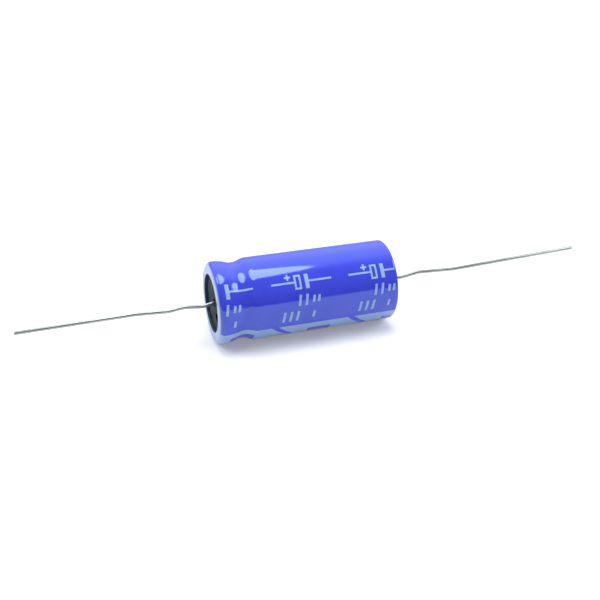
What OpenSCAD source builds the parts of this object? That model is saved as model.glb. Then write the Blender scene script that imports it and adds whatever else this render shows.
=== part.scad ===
// Axial aluminium electrolytic capacitor, lying on its side.
// X runs along the body. The seal, the groove and the positive lead are at the -X end, and the
// closed end of the can with the negative lead is at +X. Z is up, and -Y faces the reader.
// The origin is on the axis, half way along the sleeved body.

/* [Body] */
// Outer diameter over the sleeve
body_d = 18; // [14:0.5:24]
// Length over the sleeve, from the crest of the rim to the closed end
body_len = 40; // [30:1:60]
// Radius of the rounded crest at the seal end
rim_round = 1.2; // [0.9:0.1:1.6]
// Radius of the edge at the closed end
base_round = 0.7; // [0.3:0.1:1.2]
// Diameter of the round opening that the rim leaves at the seal end
rim_opening_d = 12.6; // [10:0.1:13.5]
// Radius of the rim's inner edge
rim_inner_round = 0.2; // [0.1:0.05:0.6]

/* [Groove] */
// Distance of the groove's deepest line from the crest of the rim
groove_from_rim = 5.45; // [5:0.05:7]
// Half of the groove's width
groove_half_w = 3.2; // [2.4:0.1:3.4]
// Depth of the groove
groove_depth = 0.7; // [0.4:0.05:0.9]

/* [Sleeve and can] */
// Wall of the shrunk plastic sleeve
sleeve_t = 0.25; // [0.15:0.05:0.35]
// Diameter of the opening that the sleeve leaves at the closed end
sleeve_tail_opening_d = 13; // [8:0.5:15]
// Wall of the aluminium can
can_t = 0.4; // [0.3:0.05:0.5]

/* [Seal] */
// Depth of the seal's face behind the crest of the rim
seal_depth = 0.8; // [0.7:0.05:1.2]
// Thickness of the rubber seal
rubber_t = 3.9; // [3.3:0.1:4.2]
// Thickness of the hard disc behind the rubber
plate_t = 1; // [0.6:0.1:1.4]
// Gap between the hard disc's edge and the inside of the groove
plate_gap = 0.25; // [0.1:0.05:0.5]
// Diameter of the vent
vent_d = 2; // [1.2:0.1:2.4]
// Distance of the vent from the axis
vent_from_axis = 3.3; // [2.8:0.1:4.5]
// Angle of the vent from the top, towards the reader
vent_angle = 149; // [100:1:250]
// Rubber web left at the bottom of the vent
vent_web = 0.6; // [0.3:0.1:1]

/* [Positive terminal] */
// Diameter of the rivet that passes through the seal
rivet_d = 2; // [1.6:0.1:2.4]
// Depth of the rivet's outer end below the seal's face
rivet_recess = 1.1; // [0.6:0.1:1.5]
// Diameter of the rivet's collar, between the rubber and the disc
rivet_collar_d = 3.8; // [3:0.1:3.9]
// Thickness of that collar
rivet_collar_t = 0.6; // [0.4:0.1:0.8]
// Diameter of the rivet's closed head
rivet_head_d = 3.4; // [2.8:0.1:4]
// Thickness of that head
rivet_head_t = 0.5; // [0.3:0.1:0.6]
// Diameter of the washer under the head
washer_d = 4.8; // [4.2:0.1:6]
// Thickness of the washer
washer_t = 0.4; // [0.2:0.1:0.5]

/* [Leads] */
// Diameter of both lead wires
lead_d = 0.8; // [0.5:0.05:1]
// Reach of the positive lead beyond the crest of the rim
positive_reach = 40.6; // [25:0.1:60]
// Reach of the negative lead beyond the closed end
negative_reach = 49.1; // [25:0.1:60]
// Bending radius at the middle of the wire, where it was straightened by hand
bend_r = 5; // [2:0.5:5.5]
// Diameter of the weld where the positive lead meets the rivet
positive_weld_d = 1.5; // [1.2:0.1:1.6]
// Length of that weld
positive_weld_len = 0.35; // [0.2:0.05:0.6]
// Diameter of the weld on the closed end of the can
negative_weld_d = 2.2; // [1.4:0.1:3]
// Length of that weld
negative_weld_len = 0.5; // [0.3:0.05:0.8]

/* [Winding] */
// Gap between the taped roll and the wall of the can
roll_gap = 0.25; // [0.15:0.05:0.6]
// Thickness of the tape that holds the roll closed
tape_t = 0.08; // [0.05:0.01:0.12]
// Bare margin of the roll beyond each edge of the tape
tape_margin = 1; // [0.5:0.1:3]
// Diameter of the hole that the winding pin leaves
core_d = 3; // [2:0.1:4]
// Width of the connecting tabs
tab_w = 3; // [2:0.1:4]
// Thickness of the tabs
tab_t = 0.25; // [0.15:0.01:0.3]
// Distance from the axis at which the anode tab leaves the roll
anode_tab_r = 4.5; // [4:0.1:6]
// Distance from the axis at which the cathode tab leaves the roll
cathode_tab_r = 6; // [4:0.1:6.5]
// Inner radius of the bend in the anode tab
tab_bend_r = 0.5; // [0.3:0.05:0.6]

/* [Print] */
// Thickness of the print on the sleeve
ink_t = 0.02; // [0.01:0.005:0.04]
// Length after which the print repeats along the body
print_pitch = 17.2; // [16:0.1:24]
// Angle of the polarity stripe's middle from the top, towards the reader
stripe_angle = 139; // [130:1:150]
// Width of the stripe, as an angle
stripe_span = 47; // [36:1:56]
// Distance of the first arrow gap's corner from the crest of the rim
arrow_from_rim = 11.2; // [10:0.1:14]
// Length by which the arrow's tip leads its corners
arrow_lead = 3.7; // [2:0.1:5]
// Width of the arrow gap, along the body
arrow_gap = 1.6; // [1:0.1:3]
// Distance of the first minus bar from the crest of the rim
minus_from_rim = 2.4; // [2:0.1:5]
// Length of each minus bar
minus_len = 5.2; // [4:0.1:7]
// Height of each minus bar
minus_h = 3.5; // [1.5:0.1:4]
// Distance of the first whole block of marks from the crest of the rim
marks_from_rim = 11.5; // [10:0.1:13]
// Stroke of the marks
stroke = 0.42; // [0.3:0.01:0.6]
// Length of the circuit symbol in the top row
symbol_len = 13.3; // [11:0.1:14]
// Height of its plates
symbol_h = 3.2; // [2.4:0.1:3.6]
// Height of the bars in the two lower rows
bar_h = 2.4; // [1.6:0.1:2.8]
// Sideways lean of a bar, as a share of its height
bar_lean = 0.17; // [0:0.01:0.3]

/* [Hidden] */
$fn = 72;
// Extra length by which a cutter passes the face that it cuts
past = 0.5;
// The smallest fillet that a thick wall leaves inside a rounded edge
least_round = 0.05;
// A bend in a wire is this much thicker than the straight lengths, which lap into it
bend_swell = 0.002;
bend_lap = 0.05;

body_r = body_d / 2;
opening_r = rim_opening_d / 2;
tail_opening_r = sleeve_tail_opening_d / 2;
can_out = sleeve_t;
can_in = sleeve_t + can_t;
can_end = body_len - can_out;
base_inside = body_len - can_in;

seal_back = seal_depth + rubber_t;
plate_back = seal_back + plate_t;
plate_r = body_r - groove_depth - can_in - plate_gap;
rivet_front = seal_depth + rivet_recess;
washer_front = plate_back + tab_t;
head_front = washer_front + washer_t;
head_back = head_front + rivet_head_t;
lead_r = lead_d / 2;

roll_start = max(groove_from_rim + groove_half_w, head_back + tab_bend_r);
roll_end = base_inside - tab_t;
roll_r = body_r - can_in - roll_gap - tape_t;

// Waypoints of the wires, as distance beyond the end of the body and height above the axis. They
// are straight but for the slight waves of a wire that was straightened by hand.
positive_path = [
    [-rivet_front, 0], [-0.5, 0], [1.9, -0.52], [5.7, -0.06], [9.4, -0.5], [16, -0.08],
    [positive_reach, -0.45]
];
negative_path = [
    [-can_out, 0], [1.2, 0], [4, -0.28], [8.6, 0.42], [17.5, -0.05], [negative_reach, 1.15]
];

// The rows of marks: angle of each row from the top, and the bars in the two lower rows as
// distance from the start of the block and share of the full height.
symbol_angle = 51;
upper_bars_angle = 76;
lower_bars_angle = 98.5;
upper_bars = [[5.6, 1], [7.1, 1], [8.7, 0.62], [9.8, 0.62]];
lower_bars = [[2.0, 1], [3.5, 1], [5.0, 1], [8.6, 0.62]];
bar_w = stroke * 1.3;
plate_bar_w = stroke * 2;
symbol_gap = stroke * 2;
hollow_plate_w = stroke * 3.6;
plus_size = stroke * 3.2;

// Takes a shape that stands on Z, measured from the crest of the rim, to its place along X
module along_body() {
    translate([-body_len / 2, 0, 0]) rotate([0, 90, 0]) children();
}

// A solid of revolution about the body's axis, from an outline of radius and distance
module turned() {
    along_body() rotate_extrude() children();
}

// The same, but only between two angles measured from the top towards the reader
module turned_between(from_angle, to_angle) {
    along_body() rotate([0, 0, 180 + from_angle])
        rotate_extrude(angle = to_angle - from_angle) children();
}

// Stands a flat shape up through the sleeve's surface, facing out at an angle from the top
module through_surface(angle) {
    rotate([angle, 0, 0])
        translate([-body_len / 2, 0, body_r - groove_depth - can_in])
            linear_extrude(groove_depth + can_in + past) children();
}

// A rectangle from one corner to the opposite one, as radius and distance
module field(r1, r2, from, to) {
    translate([r1, from]) square([r2 - r1, to - from]);
}

function inner_round(r, inset) = max(r - inset, least_round);

// Radius of the arcs of a smooth step, from half of its width and its whole depth
function step_radius(half_w, depth) = (half_w * half_w + depth * depth) / (4 * depth);

// What the groove takes away from an outline that lies the given distance inside the surface
module groove_cut(inset) {
    arc = step_radius(groove_half_w, groove_depth);
    turn = 2 * atan(groove_depth / groove_half_w);
    // Half width of the concave arc, where it meets the shoulders
    half = (arc + inset) * sin(turn);
    top = body_r + past;
    translate([0, groove_from_rim]) {
        intersection() {
            translate([body_r - groove_depth + arc, 0]) circle(arc + inset);
            field(0, top, -half, half);
        }
        for (side = [-1, 1])
            difference() {
                field(body_r - arc, top, min(side * half, side * groove_half_w),
                    max(side * half, side * groove_half_w));
                translate([body_r - arc, side * groove_half_w]) circle(arc - inset);
            }
    }
}

// Half of the body's section, the given distance inside the outer surface, with the round
// recess that the rim stands around
module case_outline(inset) {
    front_round = inner_round(rim_round, inset);
    back_round = inner_round(base_round, inset);
    edge_round = inner_round(rim_inner_round, inset);
    r = body_r - inset;
    front = inset;
    back = body_len - inset;
    recess_r = opening_r + inset;
    difference() {
        union() {
            field(0, r - front_round, front, front + front_round);
            translate([r - front_round, front + front_round]) circle(front_round);
            field(0, r, front + front_round, back - back_round);
            translate([r - back_round, back - back_round]) circle(back_round);
            field(0, r - back_round, back - back_round, back);
        }
        groove_cut(inset);
        field(0, recess_r, front - past, seal_depth + inset);
        difference() {
            field(recess_r - past / 2, recess_r + edge_round, front - past, front + edge_round);
            translate([recess_r + edge_round, front + edge_round]) circle(edge_round);
        }
    }
}

// The part of an outline that lies between two distances from the rim
module between(from, to) {
    intersection() {
        children();
        field(0, body_d, from, to);
    }
}

// Blue plastic tube, shrunk over the can and in over both of its ends, at the rim as far as the
// seal's face
module sleeve() {
    color("mediumblue") turned() difference() {
        case_outline(0);
        case_outline(sleeve_t);
        field(0, opening_r + sleeve_t + past / 2, seal_depth, seal_depth + 2 * sleeve_t);
        field(0, tail_opening_r, can_end - past, body_len + past);
    }
}

// The skin of print over the sleeve, of which the marks are cut
module ink_outline() {
    difference() {
        case_outline(-ink_t);
        case_outline(0);
        field(0, opening_r + rim_inner_round, -past, seal_depth + past);
        field(0, tail_opening_r + ink_t, can_end, body_len + past);
    }
}

// One gap between two arrows, pointing to the negative end
module arrow(corner) {
    half_h = body_r * sin(stripe_span / 2);
    lean = arrow_lead / half_h;
    reach = half_h + past;
    tip = corner + arrow_lead;
    foot = tip - lean * reach;
    polygon([
        [foot, -reach], [foot + arrow_gap, -reach], [tip + arrow_gap, 0],
        [foot + arrow_gap, reach], [foot, reach], [tip, 0]
    ]);
}

// Pale stripe along the negative side, with arrow gaps and minus bars left blue
module polarity_stripe() {
    color("lightsteelblue") difference() {
        turned_between(stripe_angle - stripe_span / 2, stripe_angle + stripe_span / 2)
            ink_outline();
        through_surface(stripe_angle)
            for (start = [0:print_pitch:body_len]) {
                arrow(arrow_from_rim + start);
                translate([minus_from_rim + start, -minus_h / 2])
                    square([minus_len, minus_h]);
            }
    }
}

// An upright bar that leans to the right
module leaning_bar(x, h) {
    lean = bar_lean * h / 2;
    polygon([
        [x - lean, -h / 2], [x - lean + bar_w, -h / 2], [x + lean + bar_w, h / 2],
        [x + lean, h / 2]
    ]);
}

// Circuit symbol of a polarised capacitor: a hollow plate, a full plate, two wires and a plus
module circuit_symbol() {
    plates = hollow_plate_w + symbol_gap + plate_bar_w;
    wire = (symbol_len - plates) / 2;
    hollow = wire;
    full = wire + hollow_plate_w + symbol_gap;
    translate([0, -stroke / 2]) square([wire, stroke]);
    difference() {
        translate([hollow, -symbol_h / 2]) square([hollow_plate_w, symbol_h]);
        translate([hollow + stroke, stroke - symbol_h / 2])
            square([hollow_plate_w - 2 * stroke, symbol_h - 2 * stroke]);
    }
    translate([full, -symbol_h / 2]) square([plate_bar_w, symbol_h]);
    translate([full + plate_bar_w, -stroke / 2]) square([wire, stroke]);
    translate([wire - plus_size, stroke / 2 + plus_size * 0.75]) {
        square([plus_size, stroke], center = true);
        square([stroke, plus_size], center = true);
    }
}

// Plain marks in three rows, repeated along the body
module print_marks() {
    color("lightsteelblue") intersection() {
        turned_between(symbol_angle - 30, lower_bars_angle + 25)
            between(rim_round, body_len - base_round) ink_outline();
        for (start = [-print_pitch:print_pitch:body_len]) {
            through_surface(symbol_angle)
                translate([marks_from_rim + start, 0]) circuit_symbol();
            through_surface(upper_bars_angle)
                for (bar = upper_bars)
                    leaning_bar(marks_from_rim + start + bar[0], bar_h * bar[1]);
            through_surface(lower_bars_angle)
                for (bar = lower_bars)
                    leaning_bar(marks_from_rim + start + bar[0], bar_h * bar[1]);
        }
    }
}

// Deep-drawn aluminium cup, with a rolled groove and its rim curled into the rubber
module can() {
    color("silver") turned() difference() {
        case_outline(can_out);
        case_outline(can_in);
        field(0, opening_r + can_in, seal_depth + can_out, seal_depth + 2 * can_in);
    }
}

// The cup's curled edge, where it bites into the seal
module curl_bite() {
    field(opening_r + can_out, opening_r + can_in, 0, seal_depth + can_out);
}

// Rubber seal, squeezed into the groove, with the rivet's hole and the blind vent
module seal_rubber() {
    rivet_r = rivet_d / 2;
    color("dimgray") difference() {
        turned() difference() {
            between(seal_depth, seal_back) union() {
                case_outline(can_in);
                field(0, opening_r + can_in, 0, seal_depth + 2 * can_in);
            }
            curl_bite();
            field(0, rivet_r, 0, seal_back + past);
            field(0, rivet_collar_d / 2, seal_back - rivet_collar_t, seal_back + past);
        }
        vent_cut(seal_depth - past, seal_back - vent_web);
    }
}

// Round cutter at the vent, between two distances from the rim
module vent_cut(from, to) {
    rotate([vent_angle, 0, 0]) translate([-body_len / 2 + from, 0, vent_from_axis])
        rotate([0, 90, 0]) cylinder(d = vent_d, h = to - from);
}

// Hard disc that backs the rubber and carries the rivet
module seal_plate() {
    color("peru") difference() {
        turned() field(rivet_d / 2, plate_r, seal_back, plate_back);
        vent_cut(seal_back - past, plate_back + past);
    }
}

// Aluminium rivet through the seal, with its collar and its closed head
module positive_terminal() {
    color("gainsboro") turned() {
        field(0, rivet_d / 2, rivet_front, head_back);
        field(0, rivet_collar_d / 2, seal_back - rivet_collar_t, seal_back);
        field(0, rivet_head_d / 2, head_front, head_back);
    }
}

// Washer that presses the anode tab against the hard disc
module terminal_washer() {
    color("silver") turned() field(rivet_d / 2, washer_d / 2, washer_front, head_front);
}

function heading(from, to) = atan2(to[1] - from[1], to[0] - from[0]);
function turn_at(path, i) = heading(path[i], path[i + 1]) - heading(path[i - 1], path[i]);
// Length that a bend takes from the straight wire on each of its sides
function setback(path, i) = i == 0 || i == len(path) - 1 ? 0
    : bend_r * tan(abs(turn_at(path, i)) / 2);

// Where a straight length of wire starts or ends, measured from its waypoint
function run_in(path, i) = max(setback(path, i) - bend_lap, 0);

// A round wire through the waypoints, flat in a plane, with a true arc at each bend
module wire(path) {
    for (i = [0:len(path) - 2])
        translate(path[i]) rotate([0, 0, heading(path[i], path[i + 1])])
            translate([run_in(path, i), 0, 0]) rotate([0, 90, 0])
                cylinder(r = lead_r, h = norm(path[i + 1] - path[i])
                    - run_in(path, i) - run_in(path, i + 1));
    for (i = [1:len(path) - 2])
        translate(path[i]) rotate([0, 0, heading(path[i - 1], path[i])])
            translate([-setback(path, i), 0, 0])
                mirror([0, turn_at(path, i) < 0 ? 1 : 0, 0])
                    translate([0, bend_r, 0]) rotate([0, 0, -90])
                        rotate_extrude(angle = abs(turn_at(path, i)))
                            translate([bend_r, 0]) circle(lead_r + bend_swell);
}

// A wire that leaves the +X end of the body, with the cone of its weld
module lead(path, weld_d, weld_len) {
    translate([body_len / 2, 0, 0]) rotate([90, 0, 0]) {
        wire(path);
        translate([path[0][0], 0, 0]) rotate([0, 90, 0])
            cylinder(r1 = weld_d / 2, r2 = lead_r, h = weld_len);
    }
}

// Tinned wire, butt-welded to the rivet
module positive_lead() {
    color("lightgray") mirror([1, 0, 0]) lead(positive_path, positive_weld_d, positive_weld_len);
}

// Tinned wire, butt-welded to the closed end of the can
module negative_lead() {
    color("lightgray") lead(negative_path, negative_weld_d, negative_weld_len);
}

// Roll of two foils and the soaked paper between them
module winding() {
    color("tan") turned() field(core_d / 2, roll_r, roll_start, roll_end);
}

// Tape once around the roll
module winding_tape() {
    color("khaki") turned()
        field(roll_r, roll_r + tape_t, roll_start + tape_margin, roll_end - tape_margin);
}

// A strip of the tabs' width, from its side view as height above the axis and distance
module tab() {
    along_body() rotate([90, 0, 180]) linear_extrude(tab_w, center = true) children();
}

// Strip from the anode foil, across the gap and flat under the washer
module anode_tab() {
    bend_out = tab_bend_r + tab_t;
    bend_from_axis = anode_tab_r - bend_out;
    bend_height = plate_back + bend_out;
    color("silver") difference() {
        tab() {
            field(-washer_d / 2, bend_from_axis, plate_back, washer_front);
            field(anode_tab_r - tab_t, anode_tab_r, bend_height, roll_start);
            difference() {
                intersection() {
                    translate([bend_from_axis, bend_height]) circle(bend_out);
                    field(bend_from_axis, anode_tab_r, plate_back, bend_height);
                }
                translate([bend_from_axis, bend_height]) circle(tab_bend_r);
            }
        }
        turned() field(0, rivet_d / 2, plate_back - past, washer_front + past);
    }
}

// Strip from the cathode foil, flat against the closed end of the can
module cathode_tab() {
    color("silver") tab() field(-tab_w / 2, cathode_tab_r, roll_end, base_inside);
}

sleeve();
polarity_stripe();
print_marks();
can();
seal_rubber();
seal_plate();
positive_terminal();
terminal_washer();
positive_lead();
negative_lead();
winding();
winding_tape();
anode_tab();
cathode_tab();
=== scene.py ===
# %% [markdown]
# # An axial electrolytic capacitor
# The object is an aluminium can in a blue shrink sleeve, lying on its side, with a rubber seal in one
# end and a tinned wire at each end. Its solids come in as a fixed frame that isn't edited. This lesson
# makes the pieces that show again with finer form, gives every piece a finish, and lights a small
# studio around them.
# All sizes are written in millimetres and multiplied by MM, because Blender works in metres.

# %% The frame
import math
import bmesh
import bpy
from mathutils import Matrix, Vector


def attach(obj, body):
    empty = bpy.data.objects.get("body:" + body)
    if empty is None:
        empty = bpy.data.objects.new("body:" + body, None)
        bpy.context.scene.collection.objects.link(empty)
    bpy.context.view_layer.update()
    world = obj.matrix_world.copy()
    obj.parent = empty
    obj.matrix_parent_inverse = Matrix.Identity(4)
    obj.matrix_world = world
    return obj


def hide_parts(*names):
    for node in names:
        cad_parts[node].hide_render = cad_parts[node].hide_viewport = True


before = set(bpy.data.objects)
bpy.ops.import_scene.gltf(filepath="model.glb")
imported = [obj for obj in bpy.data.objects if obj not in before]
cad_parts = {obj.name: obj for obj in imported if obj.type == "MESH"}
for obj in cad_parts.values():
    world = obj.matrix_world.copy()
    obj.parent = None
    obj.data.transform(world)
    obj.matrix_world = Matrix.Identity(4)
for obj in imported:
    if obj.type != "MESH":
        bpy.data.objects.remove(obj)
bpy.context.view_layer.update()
MM = 0.001
print("nodes:", ", ".join(sorted(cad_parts)))

# %% [markdown]
# Every operator acts on what is selected, and the frame arrives selected. So the first helper clears
# the selection, and the second leaves just one piece selected and active, ready for an operator.

# %% Selecting
def deselect_all():
    if bpy.context.mode != "OBJECT":
        bpy.ops.object.mode_set(mode="OBJECT")
    bpy.ops.object.select_all(action="DESELECT")


def select_only(piece):
    deselect_all()
    piece.select_set(True)
    bpy.context.view_layer.objects.active = piece


def edit(piece):
    """Opens a piece in edit mode with all of it selected."""
    select_only(piece)
    bpy.ops.object.mode_set(mode="EDIT")
    bpy.ops.mesh.select_mode(type="VERT")
    bpy.ops.mesh.select_all(action="SELECT")


def select_faces(piece, wanted):
    """In edit mode, selects the faces whose centre passes the test."""
    bpy.ops.mesh.select_mode(type="FACE")
    bpy.ops.mesh.select_all(action="DESELECT")
    shape = bmesh.from_edit_mesh(piece.data)
    for face in shape.faces:
        face.select_set(wanted(face.calc_center_median()))
    bmesh.update_edit_mesh(piece.data)


print("selected after loading:", len(bpy.context.selected_objects))
deselect_all()

# %% [markdown]
# The camera comes early, so that each piece can be judged from the photographer's place. It stands in
# front of the capacitor, a little to the left, and looks down by about 27 degrees. A round rim is seen
# as an ellipse, and the ellipse's height and lean give these angles. The two ends of the body differ in
# size on the picture, and that gives the distance.

# %% Camera
CAMERA_PLACE = Vector((-53.97, -165.75, 84.91)) * MM
CAMERA_DOWN = 26.58
CAMERA_ASIDE = -18.07
CAMERA_LENS = 52.7

deselect_all()
bpy.ops.object.camera_add(location=CAMERA_PLACE)
camera = bpy.context.object
camera.name = "camera"
camera.rotation_euler = (math.radians(90 - CAMERA_DOWN), 0, math.radians(CAMERA_ASIDE))
camera.data.lens = CAMERA_LENS
camera.data.sensor_width = 36
camera.data.clip_start = 0.01
bpy.context.scene.camera = camera
print("camera at", [round(value, 4) for value in camera.location])

# %% [markdown]
# The body is a solid of revolution, so half of its section says everything about it. Each point of the
# section is a pair: the distance from the crest of the rim, and the radius. The corners are arcs. The
# groove is three arcs that run into one another: a shoulder, the hollow and another shoulder. An inset
# gives the same section deeper in the material, and that is how the inside of a thin wall is drawn.
# On the outside of the film, the shoulder at the rim is softer than the can's. It leaves hardly any
# straight length there, so the highlight narrows towards the groove as it does in the photograph.

# %% Section of the body
BODY_R = 9
BODY_LEN = 40
RIM_ROUND = 1.2
BASE_ROUND = 0.7
OPENING_R = 6.3
EDGE_ROUND = 0.2
LEAST_ROUND = 0.05
SEAL_FACE = 0.8
GROOVE_AT = 5.45
GROOVE_HALF = 3.2
GROOVE_DEPTH = 0.7
STEP_R = (GROOVE_HALF ** 2 + GROOVE_DEPTH ** 2) / (4 * GROOVE_DEPTH)
RIM_SHOULDER_R = 9
EDGE_STEPS = 8


def arc(distance, radius, size, start, end, steps=8):
    """Points on an arc about (distance, radius). Angles are in degrees from along the body."""
    turns = [math.radians(start + (end - start) * i / steps) for i in range(steps + 1)]
    return [(distance + size * math.cos(t), radius + size * math.sin(t)) for t in turns]


def shoulder_turn(shoulder_r):
    """How far a shoulder turns, in degrees, before it runs into the hollow."""
    return math.degrees(math.acos(1 - GROOVE_DEPTH / (shoulder_r + STEP_R)))


def groove_outline(inset, rim_shoulder_r=STEP_R):
    rim_turn = shoulder_turn(rim_shoulder_r)
    far_turn = shoulder_turn(STEP_R)
    start = GROOVE_AT - (rim_shoulder_r + STEP_R) * math.sin(math.radians(rim_turn))
    return [
        *arc(start, BODY_R - rim_shoulder_r, rim_shoulder_r - inset, 90, 90 - rim_turn),
        *arc(GROOVE_AT, BODY_R - GROOVE_DEPTH + STEP_R, STEP_R + inset,
             270 - rim_turn, 270 + far_turn, 14)[1:],
        *arc(GROOVE_AT + GROOVE_HALF, BODY_R - STEP_R, STEP_R - inset, 90 + far_turn, 90)[1:],
    ]


def body_outline(inset, rim_shoulder_r=STEP_R):
    """From the inner edge of the rim, along the body, to the closed end's face."""
    edge = max(EDGE_ROUND - inset, LEAST_ROUND)
    return [
        *arc(inset + edge, OPENING_R + inset + edge, edge, 270, 180, EDGE_STEPS),
        *arc(RIM_ROUND, BODY_R - RIM_ROUND, RIM_ROUND - inset, 180, 90, 12),
        *groove_outline(inset, rim_shoulder_r),
        *arc(BODY_LEN - BASE_ROUND, BODY_R - BASE_ROUND, BASE_ROUND - inset, 90, 0),
    ]


film_outline = body_outline(0, RIM_SHOULDER_R)
print("points in the film's outer section:", len(film_outline))

# %% [markdown]
# There is no primitive with a single point, so a small plane is added and merged at its centre. The
# point moves to the start of the section and is then extruded from point to point, as one would draw by
# hand. Spin turns that line about the body's axis. A full turn ends where it began, and points on the
# axis fall together, so doubles are merged before the normals are made to face outwards.

# %% Drawing and spinning a section
SPIN_STEPS = 192
MERGE = 1e-7
SMOOTH_UP_TO = 35


def place(point, angle=0):
    """A point of the section, turned about the axis by an angle from the top towards the camera."""
    distance, radius = point
    turn = math.radians(angle)
    x = distance - BODY_LEN / 2
    return Vector((x, -radius * math.sin(turn), radius * math.cos(turn))) * MM


def single_point(name, where):
    """A new mesh of one point, open in edit mode."""
    deselect_all()
    bpy.ops.mesh.primitive_plane_add(size=MM)
    piece = bpy.context.object
    piece.name = name
    piece.data.name = name
    edit(piece)
    bpy.ops.mesh.merge(type="CENTER")
    bpy.ops.transform.translate(value=where)
    return piece


def draw_section(name, points, angle=0):
    places = [place(point, angle) for point in points]
    piece = single_point(name, places[0])
    for before, after in zip(places, places[1:]):
        bpy.ops.mesh.extrude_region_move(TRANSFORM_OT_translate={"value": after - before})
    bpy.ops.mesh.select_all(action="SELECT")
    return piece


def tidy_mesh(piece):
    """Merges doubles, turns the faces outwards and smooths all but the sharp edges."""
    bpy.ops.mesh.select_all(action="SELECT")
    bpy.ops.mesh.remove_doubles(threshold=MERGE)
    bpy.ops.mesh.normals_make_consistent(inside=False)
    bpy.ops.object.mode_set(mode="OBJECT")
    bpy.ops.object.shade_smooth_by_angle(angle=math.radians(SMOOTH_UP_TO))


def spin_selected(steps, angle, centre, axis):
    """Spins what is selected. Spin takes a positive angle to be clockwise, seen against the axis."""
    bpy.ops.mesh.spin(steps=steps, angle=-angle, center=centre, axis=axis)


def lathe(name, points, steps=SPIN_STEPS):
    """A closed section, spun all the way round."""
    piece = draw_section(name, [*points, points[0]])
    spin_selected(steps, math.tau, (0, 0, 0), (1, 0, 0))
    tidy_mesh(piece)
    return piece


def report(piece):
    size = [round(value / MM, 2) for value in piece.dimensions]
    print(piece.name, "faces:", len(piece.data.polygons), "size in mm:", size)


# %% [markdown]
# The sleeve is a plastic tube that was shrunk over the can. Its wall is a quarter of a millimetre, and
# a little thinner at the soft shoulder. It follows the groove, turns in over the rim and ends at the
# seal's face, and at the closed end it turns in and leaves a round opening. Its section runs out along
# the outside and back along the inside.

# %% The sleeve
SLEEVE_T = 0.25
TAIL_OPENING_R = 6.5

outside = [(SEAL_FACE, OPENING_R), *film_outline, (BODY_LEN, TAIL_OPENING_R)]
inside = [(SEAL_FACE, OPENING_R + SLEEVE_T), *body_outline(SLEEVE_T),
          (BODY_LEN - SLEEVE_T, TAIL_OPENING_R)]
sleeve = lathe("shrink_sleeve", [*outside, *reversed(inside)])
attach(sleeve, "root")
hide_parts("sleeve")
report(sleeve)

# %% [markdown]
# Print is a skin of ink, two hundredths of a millimetre thick. It could be painted in the material, but
# then the exported shapes would lose it, so it is a real skin. The outer section is spun over part of a
# turn, the outline of the print is cut into it with Bisect, what isn't print is deleted, and Solidify
# gives it its thickness.
# The marks lie in flat fields that face straight out at an angle from the top. In such a field x runs
# along the body and y across it.

# %% Patches and flat cuts
INK_T = 0.02
PATCH_STEP = 1.5


def patch(name, angle, half_span, outline):
    """An open patch of the outer surface about an angle."""
    piece = draw_section(name, outline, angle - half_span)
    steps = max(2, round(2 * half_span / PATCH_STEP))
    spin_selected(steps, math.radians(2 * half_span), (0, 0, 0), (1, 0, 0))
    return piece


def field_frame(angle):
    """Axes of the flat field that faces out at an angle: across it, and out of it."""
    turn = math.radians(angle)
    across = Vector((0, math.cos(turn), math.sin(turn)))
    out = Vector((0, -math.sin(turn), math.cos(turn)))
    return across, out


def field_point(piece_point, angle):
    """Where a point in the scene lies in the field, in millimetres from the rim and the middle."""
    across = field_frame(angle)[0]
    return piece_point.x / MM + BODY_LEN / 2, piece_point.dot(across) / MM


def cut(angle, start, end, clear=False):
    """Cuts what is selected along a line of the field. With clear, what lies to its right goes."""
    across, out = field_frame(angle)
    first = Vector(((start[0] - BODY_LEN / 2) * MM, 0, 0)) + across * (start[1] * MM)
    along = Vector((end[0] - start[0], 0, 0)) + across * (end[1] - start[1])
    bpy.ops.mesh.bisect(plane_co=first, plane_no=along.cross(out).normalized(),
                        clear_outer=clear, threshold=MERGE)


def faces_inwards(piece):
    face = piece.data.polygons[0]
    return face.normal.dot(Vector((0, face.center.y, face.center.z))) < 0


def thicken(piece):
    """Gives a skin of print its thickness, outwards."""
    bpy.ops.mesh.select_mode(type="VERT")
    bpy.ops.mesh.select_all(action="SELECT")
    bpy.ops.mesh.remove_doubles(threshold=MERGE)
    bpy.ops.mesh.normals_make_consistent(inside=False)
    bpy.ops.object.mode_set(mode="OBJECT")
    if faces_inwards(piece):
        edit(piece)
        bpy.ops.mesh.flip_normals()
        bpy.ops.object.mode_set(mode="OBJECT")
    wall = piece.modifiers.new("ink", "SOLIDIFY")
    wall.thickness = INK_T * MM
    wall.offset = 1
    bpy.ops.object.modifier_apply(modifier=wall.name)
    edit(piece)
    tidy_mesh(piece)


# %% [markdown]
# The stripe marks the negative side. It is a pale band along the whole body, with gaps like arrow heads
# that point to the negative end, and a blue minus bar between them. Both repeat after 17.2 mm. A
# Boolean would want a closed solid, and the patch is still an open skin. So all the cuts are made first
# with Bisect. Then each face is judged by its centre, and those in a gap or a bar are deleted.

# %% The polarity stripe
STRIPE_ANGLE = 139
STRIPE_HALF = 23.5
PRINT_PITCH = 17.2
ARROW_AT = 11.2
ARROW_LEAD = 3.7
ARROW_GAP = 1.6
MINUS_AT = 2.4
MINUS_LEN = 5.2
MINUS_HALF = 1.75
REPEATS = 3
ARROW_LEAN = ARROW_LEAD / (BODY_R * math.sin(math.radians(STRIPE_HALF)))


def in_arrow_gap(x, y):
    edge = ARROW_AT + ARROW_LEAD - ARROW_LEAN * abs(y)
    return any(0 < x - edge - i * PRINT_PITCH < ARROW_GAP for i in range(REPEATS))


def in_minus(x, y):
    return abs(y) < MINUS_HALF and any(
        0 < x - MINUS_AT - i * PRINT_PITCH < MINUS_LEN for i in range(REPEATS))


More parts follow.
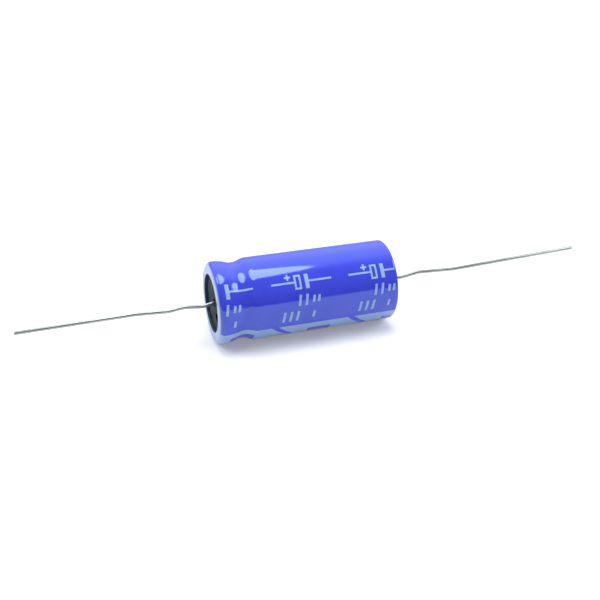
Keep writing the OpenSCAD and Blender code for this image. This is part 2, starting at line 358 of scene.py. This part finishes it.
ink_outline = film_outline[EDGE_STEPS:] + [(BODY_LEN, TAIL_OPENING_R + INK_T)]
stripe = patch("stripe_print", STRIPE_ANGLE, STRIPE_HALF, ink_outline)
for level in (-MINUS_HALF, 0, MINUS_HALF):
    bpy.ops.mesh.select_all(action="SELECT")
    cut(STRIPE_ANGLE, (0, level), (1, level))
for i in range(REPEATS):
    for side in (-1, 1):
        for edge in (0, ARROW_GAP):
            tip = (ARROW_AT + ARROW_LEAD + i * PRINT_PITCH + edge, 0)
            foot = (tip[0] - ARROW_LEAN * BODY_R, side * BODY_R)
            select_faces(stripe, lambda p: field_point(p, STRIPE_ANGLE)[1] * side > 0)
            cut(STRIPE_ANGLE, tip, foot)
    for end in (MINUS_AT, MINUS_AT + MINUS_LEN):
        bpy.ops.mesh.select_all(action="SELECT")
        cut(STRIPE_ANGLE, (end + i * PRINT_PITCH, 0), (end + i * PRINT_PITCH, 1))


def left_blue(centre):
    x, y = field_point(centre, STRIPE_ANGLE)
    return in_arrow_gap(x, y) or in_minus(x, y)


select_faces(stripe, left_blue)
bpy.ops.mesh.delete(type="FACE")
thicken(stripe)
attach(stripe, "root")
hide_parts("polarity_stripe")
report(stripe)

# %% [markdown]
# The front carries three rows of plain marks: the circuit symbol of a polarised capacitor, and two rows
# of leaning bars. Each mark is put together from shapes with straight sides. A patch is spun for each
# shape and trimmed along its sides, one cut per side, and the trimmed shapes are joined.

# %% Shapes of the marks
MARKS_AT = 11.5
STROKE = 0.42
SYMBOL_LEN = 13.3
SYMBOL_H = 3.2
PLUS_RISE = 0.75
BAR_H = 2.4
BAR_W = 1.3 * STROKE
BAR_LEAN = 0.17
ROWS = {
    "symbol": 51,
    "upper": 76,
    "lower": 98.5,
}
UPPER_BARS = [(5.6, 1), (7.1, 1), (8.7, 0.62), (9.8, 0.62)]
LOWER_BARS = [(2.0, 1), (3.5, 1), (5.0, 1), (8.6, 0.62)]


def box_shape(x1, y1, x2, y2):
    return [(x1, y1), (x2, y1), (x2, y2), (x1, y2)]


def symbol_shapes():
    """Two wires, a hollow plate, a full plate and a plus."""
    hollow_w, gap, full_w, plus = 3.6 * STROKE, 2 * STROKE, 2 * STROKE, 3.2 * STROKE
    wire = (SYMBOL_LEN - hollow_w - gap - full_w) / 2
    half, top = STROKE / 2, SYMBOL_H / 2
    full = wire + hollow_w + gap
    right = wire + hollow_w
    plus_x, plus_y = wire - plus, half + PLUS_RISE * plus
    return [
        box_shape(0, -half, wire, half),
        box_shape(wire, -top, wire + STROKE, top),
        box_shape(right - STROKE, -top, right, top),
        box_shape(wire + STROKE, top - STROKE, right - STROKE, top),
        box_shape(wire + STROKE, -top, right - STROKE, -top + STROKE),
        box_shape(full, -top, full + full_w, top),
        box_shape(full + full_w, -half, SYMBOL_LEN, half),
        box_shape(plus_x - plus / 2, plus_y - half, plus_x + plus / 2, plus_y + half),
        box_shape(plus_x - half, plus_y + half, plus_x + half, plus_y + plus / 2),
        box_shape(plus_x - half, plus_y - plus / 2, plus_x + half, plus_y - half),
    ]


def bar_shape(x, share):
    half = BAR_H * share / 2
    lean = BAR_LEAN * half
    return [(x - lean, -half), (x - lean + BAR_W, -half), (x + lean + BAR_W, half), (x + lean, half)]


rows = {
    ROWS["symbol"]: symbol_shapes(),
    ROWS["upper"]: [bar_shape(*bar) for bar in UPPER_BARS],
    ROWS["lower"]: [bar_shape(*bar) for bar in LOWER_BARS],
}
print("shapes in a block:", sum(len(shapes) for shapes in rows.values()))

# %% [markdown]
# The same block of marks comes three times along the body. The first and the last run past its ends, so
# the patch that they are cut from stops at the rounded corners, and a shape that lies wholly beyond them
# is left out. The print isn't modelled once and copied, because the first block follows the groove.

# %% The printed marks
marks_outline = [point for point in film_outline
                 if RIM_ROUND <= point[0] <= BODY_LEN - BASE_ROUND and point[1] > BODY_R - 1]


def printed_shape(angle, corners):
    """One shape with straight sides, trimmed out of a small patch."""
    half_span = math.degrees(max(abs(y) for x, y in corners) / BODY_R) + PATCH_STEP
    piece = patch("mark", angle, half_span, marks_outline)
    for start, end in zip(corners, corners[1:] + corners[:1]):
        bpy.ops.mesh.select_all(action="SELECT")
        cut(angle, start, end, clear=True)
    thicken(piece)
    return piece


def shift(corners, distance):
    return [(x + distance, y) for x, y in corners]


def on_straight_part(corners):
    """Whether any of a shape lies between the rounded ends of the body."""
    first, last = min(corners)[0], max(corners)[0]
    return last > RIM_ROUND and first < BODY_LEN - BASE_ROUND


marks = []
for angle, shapes in rows.items():
    for block in (-1, 0, 1):
        for corners in shapes:
            moved = shift(corners, MARKS_AT + block * PRINT_PITCH)
            if on_straight_part(moved):
                marks.append(printed_shape(angle, moved))
deselect_all()
for piece in marks:
    piece.select_set(True)
bpy.context.view_layer.objects.active = marks[0]
bpy.ops.object.join()
print_marks = bpy.context.object
print_marks.name = print_marks.data.name = "marks_print"
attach(print_marks, "root")
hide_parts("print_marks")
report(print_marks)

# %% [markdown]
# The rubber seal closes the can. The rolled groove squeezes it, and its face lies a little behind the
# rim. It has a hole through its middle for the rivet and a blind vent at the side. The hole and the
# hollows are in its section. The vent isn't on the axis, so a Boolean with a cylinder cuts it.

# %% The rubber seal
SEAL_BACK = 4.7
RIVET_R = 1
COLLAR_R = 1.9
COLLAR_T = 0.6
CAN_INSIDE = 0.65
VENT_R = 1
VENT_FROM_AXIS = 3.3
VENT_ANGLE = 149
VENT_END = 4.1
VENT_SIDES = 48
OVERSHOOT = 0.2
SEAL_STEPS = 96
CURL_R = (OPENING_R + SLEEVE_T, OPENING_R + CAN_INSIDE)
CURL_END = SEAL_FACE + SLEEVE_T

squeezed = [point for point in groove_outline(CAN_INSIDE) if point[0] < SEAL_BACK]
seal_edge = arc(RIM_ROUND, BODY_R - RIM_ROUND, RIM_ROUND - CAN_INSIDE, 136, 90, 5)
hollow_r = BODY_R - GROOVE_DEPTH + STEP_R
back_r = hollow_r - math.sqrt((STEP_R + CAN_INSIDE) ** 2 - (SEAL_BACK - GROOVE_AT) ** 2)
seal = lathe("rubber_seal", [
    (SEAL_FACE, RIVET_R),
    (SEAL_FACE, CURL_R[0]),
    (CURL_END, CURL_R[0]),
    (CURL_END, CURL_R[1]),
    (SEAL_FACE, CURL_R[1]),
    *seal_edge,
    *squeezed,
    (SEAL_BACK, back_r),
    (SEAL_BACK, COLLAR_R),
    (SEAL_BACK - COLLAR_T, COLLAR_R),
    (SEAL_BACK - COLLAR_T, RIVET_R),
], SEAL_STEPS)
deselect_all()
vent_middle = place(((VENT_END - OVERSHOOT) / 2, VENT_FROM_AXIS), VENT_ANGLE)
bpy.ops.mesh.primitive_cylinder_add(
    vertices=VENT_SIDES, radius=VENT_R * MM, depth=(VENT_END + OVERSHOOT) * MM,
    location=vent_middle, rotation=(0, math.radians(90), 0))
vent_cutter = bpy.context.object
select_only(seal)
drill = seal.modifiers.new("vent", "BOOLEAN")
drill.operation = "DIFFERENCE"
drill.solver = "EXACT"
drill.object = vent_cutter
bpy.ops.object.modifier_apply(modifier=drill.name)
bpy.data.objects.remove(vent_cutter)
bpy.ops.object.shade_smooth_by_angle(angle=math.radians(SMOOTH_UP_TO))
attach(seal, "root")
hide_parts("seal_rubber")
report(seal)

# %% [markdown]
# The leads are butt-welded, which leaves a small flare round the foot of each wire. It starts as a
# disc. The disc is extruded in short steps, and after each step the new ring is made smaller, so that
# the flare narrows to the wire in a hollow curve, as melted metal does.

# %% The flare of a weld
LEAD_R = 0.4
FLARE_STEPS = 5


def selected_centre():
    shape = bmesh.from_edit_mesh(bpy.context.object.data)
    chosen = [vertex.co for vertex in shape.verts if vertex.select]
    return sum(chosen, Vector()) / len(chosen)


def grow_flare(weld_r, weld_len):
    """Extrudes the first disc outwards along +X while it narrows to the wire in a hollow curve."""
    turns = [math.pi / 2 * i / FLARE_STEPS for i in range(FLARE_STEPS + 1)]
    widths = [LEAD_R + (weld_r - LEAD_R) * (1 - math.sin(turn)) for turn in turns]
    for i in range(FLARE_STEPS):
        length = (math.cos(turns[i]) - math.cos(turns[i + 1])) * weld_len * MM
        bpy.ops.mesh.extrude_region_move(TRANSFORM_OT_translate={"value": Vector((length, 0, 0))})
        ratio = widths[i + 1] / widths[i]
        bpy.ops.transform.resize(value=(1, ratio, ratio), center_override=selected_centre())


print("a flare takes", FLARE_STEPS, "steps")

# %% [markdown]
# The leads are tinned wires, one welded to the rivet and one to the can. They were straightened by
# hand, so they keep slight waves. A wire could be a curve with a bevel. Here it is one solid that grows
# along its path: the disc is extruded along each straight length and spun about the centre of each
# bend, and that keeps the wire truly round in its bends.

# %% Growing a wire
BEND_R = 5
BEND_STEPS = 6
WIRE_SIDES = 32
TIP_BEVEL = 0.08
TIP_STEPS = 3


def headings(path):
    return [math.atan2(b[1] - a[1], b[0] - a[0]) for a, b in zip(path, path[1:])]


def grow_wire(name, path, weld_r, weld_len):
    """A wire that leaves the +X end of the body, from its weld to its cut tip."""
    start = BODY_LEN / 2
    deselect_all()
    bpy.ops.mesh.primitive_circle_add(
        vertices=WIRE_SIDES, radius=weld_r * MM, fill_type="NGON", rotation=(0, math.radians(90), 0),
        location=((start + path[0][0]) * MM, 0, path[0][1] * MM))
    piece = bpy.context.object
    piece.name = piece.data.name = name
    bpy.ops.object.transform_apply(location=True, rotation=True, scale=True)
    edit(piece)
    grow_flare(weld_r, weld_len)
    at = Vector((path[0][0] + weld_len, path[0][1]))
    turns = headings(path)
    for i, corner in enumerate(path[1:], 1):
        angle = turns[i] - turns[i - 1] if i < len(turns) else 0
        setback = BEND_R * math.tan(abs(angle) / 2)
        ahead = Vector((math.cos(turns[i - 1]), math.sin(turns[i - 1])))
        stop = Vector(corner) - ahead * setback
        step = Vector((stop.x - at.x, 0, stop.y - at.y)) * MM
        bpy.ops.mesh.extrude_region_move(TRANSFORM_OT_translate={"value": step})
        at = stop
        if angle:
            side = math.copysign(1, angle)
            centre = stop + Vector((-ahead.y, ahead.x)) * side * BEND_R
            middle = ((start + centre.x) * MM, 0, centre.y * MM)
            spin_selected(BEND_STEPS, angle, middle, (0, -1, 0))
            after = Vector((math.cos(turns[i]), math.sin(turns[i])))
            at = Vector(corner) + after * setback
    bpy.ops.mesh.region_to_loop()
    bpy.ops.mesh.bevel(offset=TIP_BEVEL * MM, segments=TIP_STEPS, profile=0.5)
    tidy_mesh(piece)
    return piece


print("a bend of the wire has a radius of", BEND_R, "mm")

# %% [markdown]
# Both paths are written for a wire that leaves the body to the right. The corners of a path are in
# millimetres from the end of the body, and the wire goes round each on a bend. The positive wire is
# grown in the same way and then mirrored to the other end. A mirror turns the faces inside out, so its
# normals are made again.

# %% The wire leads
POSITIVE_PATH = [(-1.9, 0), (-0.5, 0), (1.9, -0.52), (5.7, -0.06), (9.4, -0.5), (16, -0.08),
                 (40.6, -0.45)]
NEGATIVE_PATH = [(-0.25, 0), (1.2, 0), (4, -0.28), (8.6, 0.42), (17.5, -0.05), (49.1, 1.15)]
POSITIVE_WELD = (0.75, 0.35)
NEGATIVE_WELD = (1.1, 0.5)

positive_wire = grow_wire("positive_wire", POSITIVE_PATH, *POSITIVE_WELD)
edit(positive_wire)
bpy.ops.transform.mirror(orient_type="GLOBAL", constraint_axis=(True, False, False),
                         center_override=(0, 0, 0))
tidy_mesh(positive_wire)
negative_wire = grow_wire("negative_wire", NEGATIVE_PATH, *NEGATIVE_WELD)
for piece, node in ((positive_wire, "positive_lead"), (negative_wire, "negative_lead")):
    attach(piece, "root")
    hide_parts(node)
    report(piece)
    print("place in mm:", [round(v / MM, 2) for v in piece.bound_box[0]],
          [round(v / MM, 2) for v in piece.bound_box[6]])

# %% [markdown]
# A material here is one Principled shader. A colour or a roughness that varies comes from a noise or a
# mask on Object coordinates, and a value that is the same all over is set on the shader itself.

# %% Building a material
def new_material(name, colour, roughness, metallic=0.0):
    material = bpy.data.materials.new(name)
    material.use_nodes = True
    shader = material.node_tree.nodes["Principled BSDF"]
    shader.inputs["Base Color"].default_value = (*colour, 1)
    shader.inputs["Roughness"].default_value = roughness
    shader.inputs["Metallic"].default_value = metallic
    return material, shader


def add_node(material, kind, **values):
    """Adds a node and sets those of its inputs that are named."""
    node = material.node_tree.nodes.new(kind)
    for label, value in values.items():
        node.inputs[label.replace("_", " ")].default_value = value
    return node


def object_coordinates(material, stretch=(1, 1, 1)):
    """Object coordinates in millimetres, stretched along the axes."""
    links = material.node_tree.links
    source = add_node(material, "ShaderNodeTexCoord")
    mapping = add_node(material, "ShaderNodeMapping", Scale=[value / MM for value in stretch])
    links.new(source.outputs["Object"], mapping.inputs["Vector"])
    return mapping.outputs["Vector"]


def noise(material, coordinates, scale, detail=3.0, roughness=0.5):
    node = add_node(material, "ShaderNodeTexNoise", Scale=scale, Detail=detail, Roughness=roughness)
    material.node_tree.links.new(coordinates, node.inputs["Vector"])
    return node.outputs["Fac"]


def ramp(material, factor, stops):
    """A colour ramp from (place, colour) pairs."""
    node = material.node_tree.nodes.new("ShaderNodeValToRGB")
    points = node.color_ramp.elements
    while len(points) < len(stops):
        points.new(0.5)
    for point, (where, colour) in zip(points, stops):
        point.position = where
        point.color = (*colour, 1)
    material.node_tree.links.new(factor, node.inputs["Fac"])
    return node.outputs["Color"]


def bump(material, shader, height, depth, strength=1.0):
    """Small relief. Its depth is in millimetres."""
    node = add_node(material, "ShaderNodeBump", Strength=strength, Distance=depth * MM)
    links = material.node_tree.links
    links.new(height, node.inputs["Height"])
    links.new(node.outputs["Normal"], shader.inputs["Normal"])
    return node


def spread(material, factor, low, high):
    """Takes a value from 0..1 to another range."""
    node = add_node(material, "ShaderNodeMapRange")
    node.inputs["To Min"].default_value = low
    node.inputs["To Max"].default_value = high
    material.node_tree.links.new(factor, node.inputs["Value"])
    return node.outputs["Result"]


def calculate(material, operation, first, second):
    """A sum, a product or the like of two values, each a number or a socket."""
    node = material.node_tree.nodes.new("ShaderNodeMath")
    node.operation = operation
    for socket, value in zip(node.inputs, (first, second)):
        if isinstance(value, (int, float)):
            socket.default_value = value
        else:
            material.node_tree.links.new(value, socket)
    return node.outputs["Value"]


def colour_of(material, shader, socket):
    material.node_tree.links.new(socket, shader.inputs["Base Color"])


def roughness_of(material, shader, socket):
    material.node_tree.links.new(socket, shader.inputs["Roughness"])


def paint(piece, material):
    piece.data.materials.clear()
    piece.data.materials.append(material)
    print(piece.name, "is finished with", material.name)


# %% [markdown]
# Some finishes change from place to place. A mask is a value between 0 and 1 that is worked out from
# the place on the piece: the distance along the body, or the radius about its axis. It could be painted
# by hand, but a mask that is worked out stays sharp however near the camera comes. Two colours are then
# mixed by it.

# %% Masks and mixes
def distance_mask(material, full, none):
    """1 where the distance from the rim, in millimetres, is below full, and 0 above none."""
    links = material.node_tree.links
    source = add_node(material, "ShaderNodeTexCoord")
    parts = add_node(material, "ShaderNodeSeparateXYZ")
    links.new(source.outputs["Object"], parts.inputs["Vector"])
    band = add_node(material, "ShaderNodeMapRange")
    band.interpolation_type = "SMOOTHSTEP"
    band.inputs["From Min"].default_value = (full - BODY_LEN / 2) * MM
    band.inputs["From Max"].default_value = (none - BODY_LEN / 2) * MM
    band.inputs["To Min"].default_value = 1
    band.inputs["To Max"].default_value = 0
    links.new(parts.outputs["X"], band.inputs["Value"])
    return band.outputs["Result"]


def radius_mask(material, full, none):
    """1 where the radius, in millimetres, is below full, and 0 above none."""
    links = material.node_tree.links
    source = object_coordinates(material, (0, 1, 1))
    length = material.node_tree.nodes.new("ShaderNodeVectorMath")
    length.operation = "LENGTH"
    links.new(source, length.inputs[0])
    band = add_node(material, "ShaderNodeMapRange")
    band.inputs["From Min"].default_value = full
    band.inputs["From Max"].default_value = none
    band.inputs["To Min"].default_value = 1
    band.inputs["To Max"].default_value = 0
    links.new(length.outputs["Value"], band.inputs["Value"])
    return band.outputs["Result"]


def rays(material):
    """The direction of a point from the axis, so that a pattern on it runs out in rays."""
    turn = material.node_tree.nodes.new("ShaderNodeVectorMath")
    turn.operation = "NORMALIZE"
    material.node_tree.links.new(object_coordinates(material, (0, 1, 1)), turn.inputs[0])
    return turn.outputs["Vector"]


def mix_colours(material, factor, first, second):
    """first where the factor is 0 and second where it is 1. Either may be a colour or a socket."""
    node = material.node_tree.nodes.new("ShaderNodeMix")
    node.data_type = "RGBA"
    material.node_tree.links.new(factor, node.inputs["Factor"])
    for socket, colour in ((node.inputs["A"], first), (node.inputs["B"], second)):
        if isinstance(colour, tuple):
            socket.default_value = (*colour, 1)
        else:
            material.node_tree.links.new(colour, socket)
    return node.outputs["Result"]


def shade(colour, share):
    return tuple(min(value * share, 1) for value in colour)


print("a lighter and a darker grey:", shade((0.5, 0.5, 0.5), 1.1), shade((0.5, 0.5, 0.5), 0.9))

# %% [markdown]
# The sleeve's plastic is a deep, glossy blue. Its gloss has a tint of its own, because part of the light
# comes back from the metal below the film. Where the film is drawn over the crest of the rim it is
# stretched and a little duller, and its colour is painted much paler there: a painted reflection of the
# bright room behind. Inside the rim its colour is painted shade, nearly navy, and darker still deeper
# in.
# Masks of the distance and the radius mix these colours. At both ends the film was gathered as it
# shrank, so faint rays are added there to the slight ripple that it has all over.

# %% Blue shrink film
DEEP_BLUE = (0.052, 0.066, 0.76)
# Painted reflection: the pale tone of the rim's crest, where it mirrors the bright room.
PAINTED_CREST_REFLECTION = (0.29, 0.42, 0.76)
# Painted shade inside the rim: navy near the crest, and nearly black deeper in.
PAINTED_SHADE_NAVY = (0.008, 0.03, 0.14)
PAINTED_DEEP_SHADE = (0.003, 0.006, 0.014)
PALE_UNTIL = 0.06
PALE_FADE = 0.26
NAVY_UNTIL = 0.35
NAVY_FADE = 0.2
FOLD_R = (OPENING_R + 0.05, OPENING_R + 0.16)
GATHERED_FROM = (BODY_LEN - 0.7, BODY_LEN - 0.1)
GLOSS_TINT = (0.72, 1, 1, 1)
FILM_IOR = 1.7
FILM_ROUGHNESS = 0.07
FOLD_ROUGHNESS = 0.7
DRAWN_ROUGHNESS = 0.3
RIPPLE_DEPTH = 0.01
GATHER_SHARE = 3


blue, shader = new_material("blue_film", DEEP_BLUE, FILM_ROUGHNESS)
shader.inputs["Specular Tint"].default_value = GLOSS_TINT
shader.inputs["IOR"].default_value = FILM_IOR
clouds = noise(blue, object_coordinates(blue), 0.25, 2)
deep = ramp(blue, clouds, [(0.3, shade(DEEP_BLUE, 0.95)), (0.7, shade(DEEP_BLUE, 1.05))])
# The crest mask mixes in the painted reflection, and the fold and depth masks mix in the painted shade
# inside the rim.
rim = distance_mask(blue, PALE_UNTIL, PALE_UNTIL + PALE_FADE)
outer_colour = mix_colours(blue, rim, deep, PAINTED_CREST_REFLECTION)
fold = radius_mask(blue, *FOLD_R)
near_crest = distance_mask(blue, NAVY_UNTIL, NAVY_UNTIL + NAVY_FADE)
inner_colour = mix_colours(blue, near_crest, PAINTED_DEEP_SHADE, PAINTED_SHADE_NAVY)
colour_of(blue, shader, mix_colours(blue, fold, outer_colour, inner_colour))
drawn_roughness = spread(blue, rim, FILM_ROUGHNESS, DRAWN_ROUGHNESS)
fold_roughness = spread(blue, fold, FILM_ROUGHNESS, FOLD_ROUGHNESS)
roughness_of(blue, shader, calculate(blue, "MAXIMUM", drawn_roughness, fold_roughness))
ripple = noise(blue, object_coordinates(blue, (0.12, 0.5, 0.5)), 1.0, 2)
tail = calculate(blue, "SUBTRACT", 1, distance_mask(blue, *GATHERED_FROM))
both_ends = calculate(blue, "ADD", tail, fold)
gathers = calculate(blue, "MULTIPLY", noise(blue, rays(blue), 9, 3), both_ends)
relief = calculate(blue, "ADD", ripple, calculate(blue, "MULTIPLY", gathers, GATHER_SHARE))
bump(blue, shader, relief, RIPPLE_DEPTH)
paint(sleeve, blue)

# %% [markdown]
# The print is the same pale blue as its ink, a little duller than the film. It was pressed through a
# screen, so its tone and its surface are finely uneven.

# %% Pale print
INK = (0.34, 0.5, 0.84)
INK_ROUGHNESS = 0.3
GRAIN_DEPTH = 0.004
ink, shader = new_material("screen_print", INK, INK_ROUGHNESS)
shader.inputs["Specular Tint"].default_value = GLOSS_TINT
grain = noise(ink, object_coordinates(ink), 1.5, 3)
colour_of(ink, shader, ramp(ink, grain, [(0.35, shade(INK, 0.93)), (0.65, shade(INK, 1.06))]))
bump(ink, shader, grain, GRAIN_DEPTH)
for piece in (print_marks, stripe):
    paint(piece, ink)

# %% [markdown]
# Rubber is nearly black and takes little gloss. Its face has faint upright streaks, lighter and darker.
# The walls of the holes are painted near-black below the face: painted shade, where little light
# reaches.

# %% Rubber
RUBBER = (0.034, 0.043, 0.041)
# Painted shade: the near-black colour of the holes' walls.
PAINTED_HOLE_SHADE = (0.003, 0.004, 0.004)
RUBBER_ROUGHNESS = 0.7
PAINTED_SHADE_DEPTH = (SEAL_FACE + 0.01, SEAL_FACE + 0.05)
PORE_DEPTH = 0.02
rubber, shader = new_material("black_rubber", RUBBER, RUBBER_ROUGHNESS)
shader.inputs["Specular IOR Level"].default_value = 0.1
streaks = noise(rubber, object_coordinates(rubber, (1, 0.6, 0.45)), 1.0, 4, 0.6)
face = ramp(rubber, streaks, [(0.38, shade(RUBBER, 0.6)), (0.66, shade(RUBBER, 2.3))])
# 1 on the face, fading to 0 just inside the holes, where the painted shade takes over.
above_painted_shade = distance_mask(rubber, *PAINTED_SHADE_DEPTH)
colour_of(rubber, shader, mix_colours(rubber, above_painted_shade, PAINTED_HOLE_SHADE, face))
bump(rubber, shader, noise(rubber, object_coordinates(rubber), 2.5, 5), PORE_DEPTH)
paint(seal, rubber)

# %% [markdown]
# Tin over copper is a soft white metal. Drawing the wire leaves faint lines along it, so the noise is
# stretched along the body. The same noise makes some places duller than others.

# %% Tinned wire
TIN_DARK = (0.28, 0.3, 0.29)
TIN_LIGHT = (0.45, 0.485, 0.47)
TIN_ROUGHNESS = (0.2, 0.4)
LINE_DEPTH = 0.01
tin, shader = new_material("tinned_wire", TIN_LIGHT, sum(TIN_ROUGHNESS) / 2, 1)
drawn = noise(tin, object_coordinates(tin, (0.05, 4, 4)), 2.0, 4)
colour_of(tin, shader, ramp(tin, drawn, [(0.3, TIN_DARK), (0.7, TIN_LIGHT)]))
roughness_of(tin, shader, spread(tin, drawn, *TIN_ROUGHNESS))
bump(tin, shader, drawn, LINE_DEPTH)
for piece in (positive_wire, negative_wire):
    paint(piece, tin)

# %% [markdown]
# Each way of making a piece leaves its own pattern: turning leaves rings, pressing sheets together
# leaves layers, and drawing or rolling leaves a grain. The wave texture gives the first two and a
# stretched noise gives the third. The wave texture repeats 20 / tau times in each unit of its
# coordinates, so its scale is worked out from the number of lines on each millimetre.

# %% Patterns of making
LINE_SCALE = math.tau / 20


def wave(material, kind, per_mm, distortion):
    node = add_node(material, "ShaderNodeTexWave", Scale=per_mm * LINE_SCALE, Distortion=distortion)
    node.wave_type = kind
    node.rings_direction = node.bands_direction = "X"
    material.node_tree.links.new(object_coordinates(material), node.inputs["Vector"])
    return node.outputs["Fac"]


def rings(per_mm):
    """Close rings about the body's axis."""
    return lambda material: wave(material, "RINGS", per_mm, 0.4)


def layers(per_mm):
    """Thin layers across the body's axis."""
    return lambda material: wave(material, "BANDS", per_mm, 1.5)


def grain_along(*stretch):
    """A noise, stretched along the axes."""
    return lambda material: noise(material, object_coordinates(material, stretch), 1.0, 4)


def finish(name, low, high, roughness, metallic, pattern, depth):
    """A finish whose colour, roughness and relief all follow one pattern."""
    material, shader = new_material(name, low, roughness, metallic)
    value = pattern(material)
    colour_of(material, shader, ramp(material, value, [(0.25, low), (0.75, high)]))
    roughness_of(material, shader, spread(material, value, roughness * 1.15, roughness * 0.85))
    bump(material, shader, value, depth)
    return material


print("lines on a millimetre for a scale of 1:", round(1 / LINE_SCALE, 2))

# %% [markdown]
# The pieces inside keep their solids and get finishes of their own. The can was drawn from a disc, so
# its grain runs along it. The rivet and its washer were turned. Tabs are cut from a rolled strip. The
# hard disc is pressed from sheets of paper, and its edge shows their layers. The end of the winding
# shows the turns of foil and paper as close rings.

# %% Finishes of the pieces inside
drawn_can = finish("drawn_aluminium", (0.7, 0.71, 0.73), (0.86, 0.87, 0.89), 0.35, 1,
                   grain_along(0.06, 3, 3), 0.01)
turned = finish("turned_aluminium", (0.76, 0.77, 0.78), (0.9, 0.91, 0.92), 0.25, 1, rings(12), 0.004)
strip = finish("rolled_strip", (0.74, 0.75, 0.77), (0.88, 0.89, 0.91), 0.3, 1,
               grain_along(0.5, 6, 0.2), 0.006)
laminate = finish("paper_laminate", (0.24, 0.13, 0.06), (0.42, 0.26, 0.13), 0.5, 0, layers(8), 0.01)
roll = finish("foil_and_paper", (0.33, 0.33, 0.33), (0.66, 0.6, 0.46), 0.65, 0, rings(5), 0.04)
tape = finish("thin_tape", (0.6, 0.48, 0.2), (0.76, 0.65, 0.36), 0.3, 0, grain_along(2, 1, 6), 0.006)
FINISHES = {
    "can": drawn_can,
    "seal_plate": laminate,
    "positive_terminal": turned,
    "terminal_washer": turned,
    "anode_tab": strip,
    "cathode_tab": strip,
    "winding": roll,
    "winding_tape": tape,
}
for node, material in FINISHES.items():
    paint(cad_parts[node], material)

# %% [markdown]
# The floor is a sheet of pale paper. The photograph has an even white ground, so the paper also glows a
# little where the camera or a reflection sees it. That keeps the object's own soft shadow, because the
# glow lights nothing.

# %% Floor
FLOOR_HALF = 3
FLOOR_GLOW = 0.25
PAPER = (0.76, 0.76, 0.76)
deselect_all()
bpy.ops.mesh.primitive_plane_add(size=2 * FLOOR_HALF, location=(0, 0, -BODY_R * MM))
floor = bpy.context.object
floor.name = "floor"
white, shader = new_material("white_paper", PAPER, 0.9)
links = white.node_tree.links
light_path = white.node_tree.nodes.new("ShaderNodeLightPath")
seen = light_path.outputs["Is Camera Ray"]
for kind in ("Is Glossy Ray", "Is Transmission Ray"):
    seen = calculate(white, "MAXIMUM", seen, light_path.outputs[kind])
glow = calculate(white, "MULTIPLY", seen, FLOOR_GLOW)
shader.inputs["Emission Color"].default_value = (1, 1, 1, 1)
links.new(glow, shader.inputs["Emission Strength"])
paint(floor, white)

# %% [markdown]
# The highlights on the body say where the lamps were. Followed back from the surface, the long
# highlight, the round one in the groove and the one on the rim all come from one round lamp straight
# above. Thin lines on the two end corners come from a lamp at either side. Area lamps in the shape of
# a disc give just such soft round highlights.

# %% Lights
def softbox(name, direction, away, width, power):
    """A round lamp in a direction from the object, facing it."""
    where = Vector(direction).normalized() * away
    deselect_all()
    bpy.ops.object.light_add(type="AREA", location=where)
    lamp = bpy.context.object
    lamp.name = name
    lamp.data.shape = "DISK"
    lamp.data.size = width
    lamp.data.energy = power
    lamp.rotation_euler = (-where).to_track_quat("-Z", "Y").to_euler()
    return lamp


TOP_AWAY = 0.8
TOP_WIDTH = 0.64 * TOP_AWAY
SIDE_AWAY = 0.9
softbox("top_lamp", (0.01, 0.02, 1), TOP_AWAY, TOP_WIDTH, 3.5)
softbox("left_lamp", (-0.63, 0.16, 0.76), SIDE_AWAY, 0.34, 1.5)
softbox("right_lamp", (0.72, -0.22, 0.62), SIDE_AWAY, 0.4, 2.4)

# %% [markdown]
# A glossy body also mirrors the room. Its upper side is light, because the room behind it is bright, and
# the deep blue band on its front mirrors the dim side where the camera stands. A picture of a real
# studio could be put round the scene. Two smooth steps are enough here: one from the front to the back,
# and one from the horizon up, because the room is dimmer near the floor.

# %% The room
ROOM_DARK = 0.22
ROOM_BRIGHT = 1.3
HORIZON_SHARE = 0.35
FRONT_TO_BACK = (-0.3, 0.3)
HORIZON_UP = (0, 0.6)
SKY_WHITE = (0.93, 0.97, 1, 1)
world = bpy.context.scene.world or bpy.data.worlds.new("studio")
bpy.context.scene.world = world
world.use_nodes = True
room = world.node_tree
sky = room.nodes["Background"]
sky.inputs["Color"].default_value = SKY_WHITE
direction = room.nodes.new("ShaderNodeTexCoord")
parts = room.nodes.new("ShaderNodeSeparateXYZ")
room.links.new(direction.outputs["Generated"], parts.inputs["Vector"])


def fade(axis, start, end, low, high):
    """A smooth step along one axis of the direction that a ray goes in."""
    step = room.nodes.new("ShaderNodeMapRange")
    step.interpolation_type = "SMOOTHSTEP"
    limits = {"From Min": start, "From Max": end, "To Min": low, "To Max": high}
    for label, value in limits.items():
        step.inputs[label].default_value = value
    room.links.new(parts.outputs[axis], step.inputs["Value"])
    return step.outputs["Result"]


strength = room.nodes.new("ShaderNodeMath")
strength.operation = "MULTIPLY"
room.links.new(fade("Y", *FRONT_TO_BACK, ROOM_DARK, ROOM_BRIGHT), strength.inputs[0])
room.links.new(fade("Z", *HORIZON_UP, HORIZON_SHARE, 1), strength.inputs[1])
room.links.new(strength.outputs["Value"], sky.inputs["Strength"])
print("the room's strength goes from", ROOM_DARK, "in front to", ROOM_BRIGHT, "behind")

# %% [markdown]
# The view uses the Standard transform, so that a colour renders as it is written.

# %% The last line
bpy.context.scene.view_settings.view_transform = "Standard"
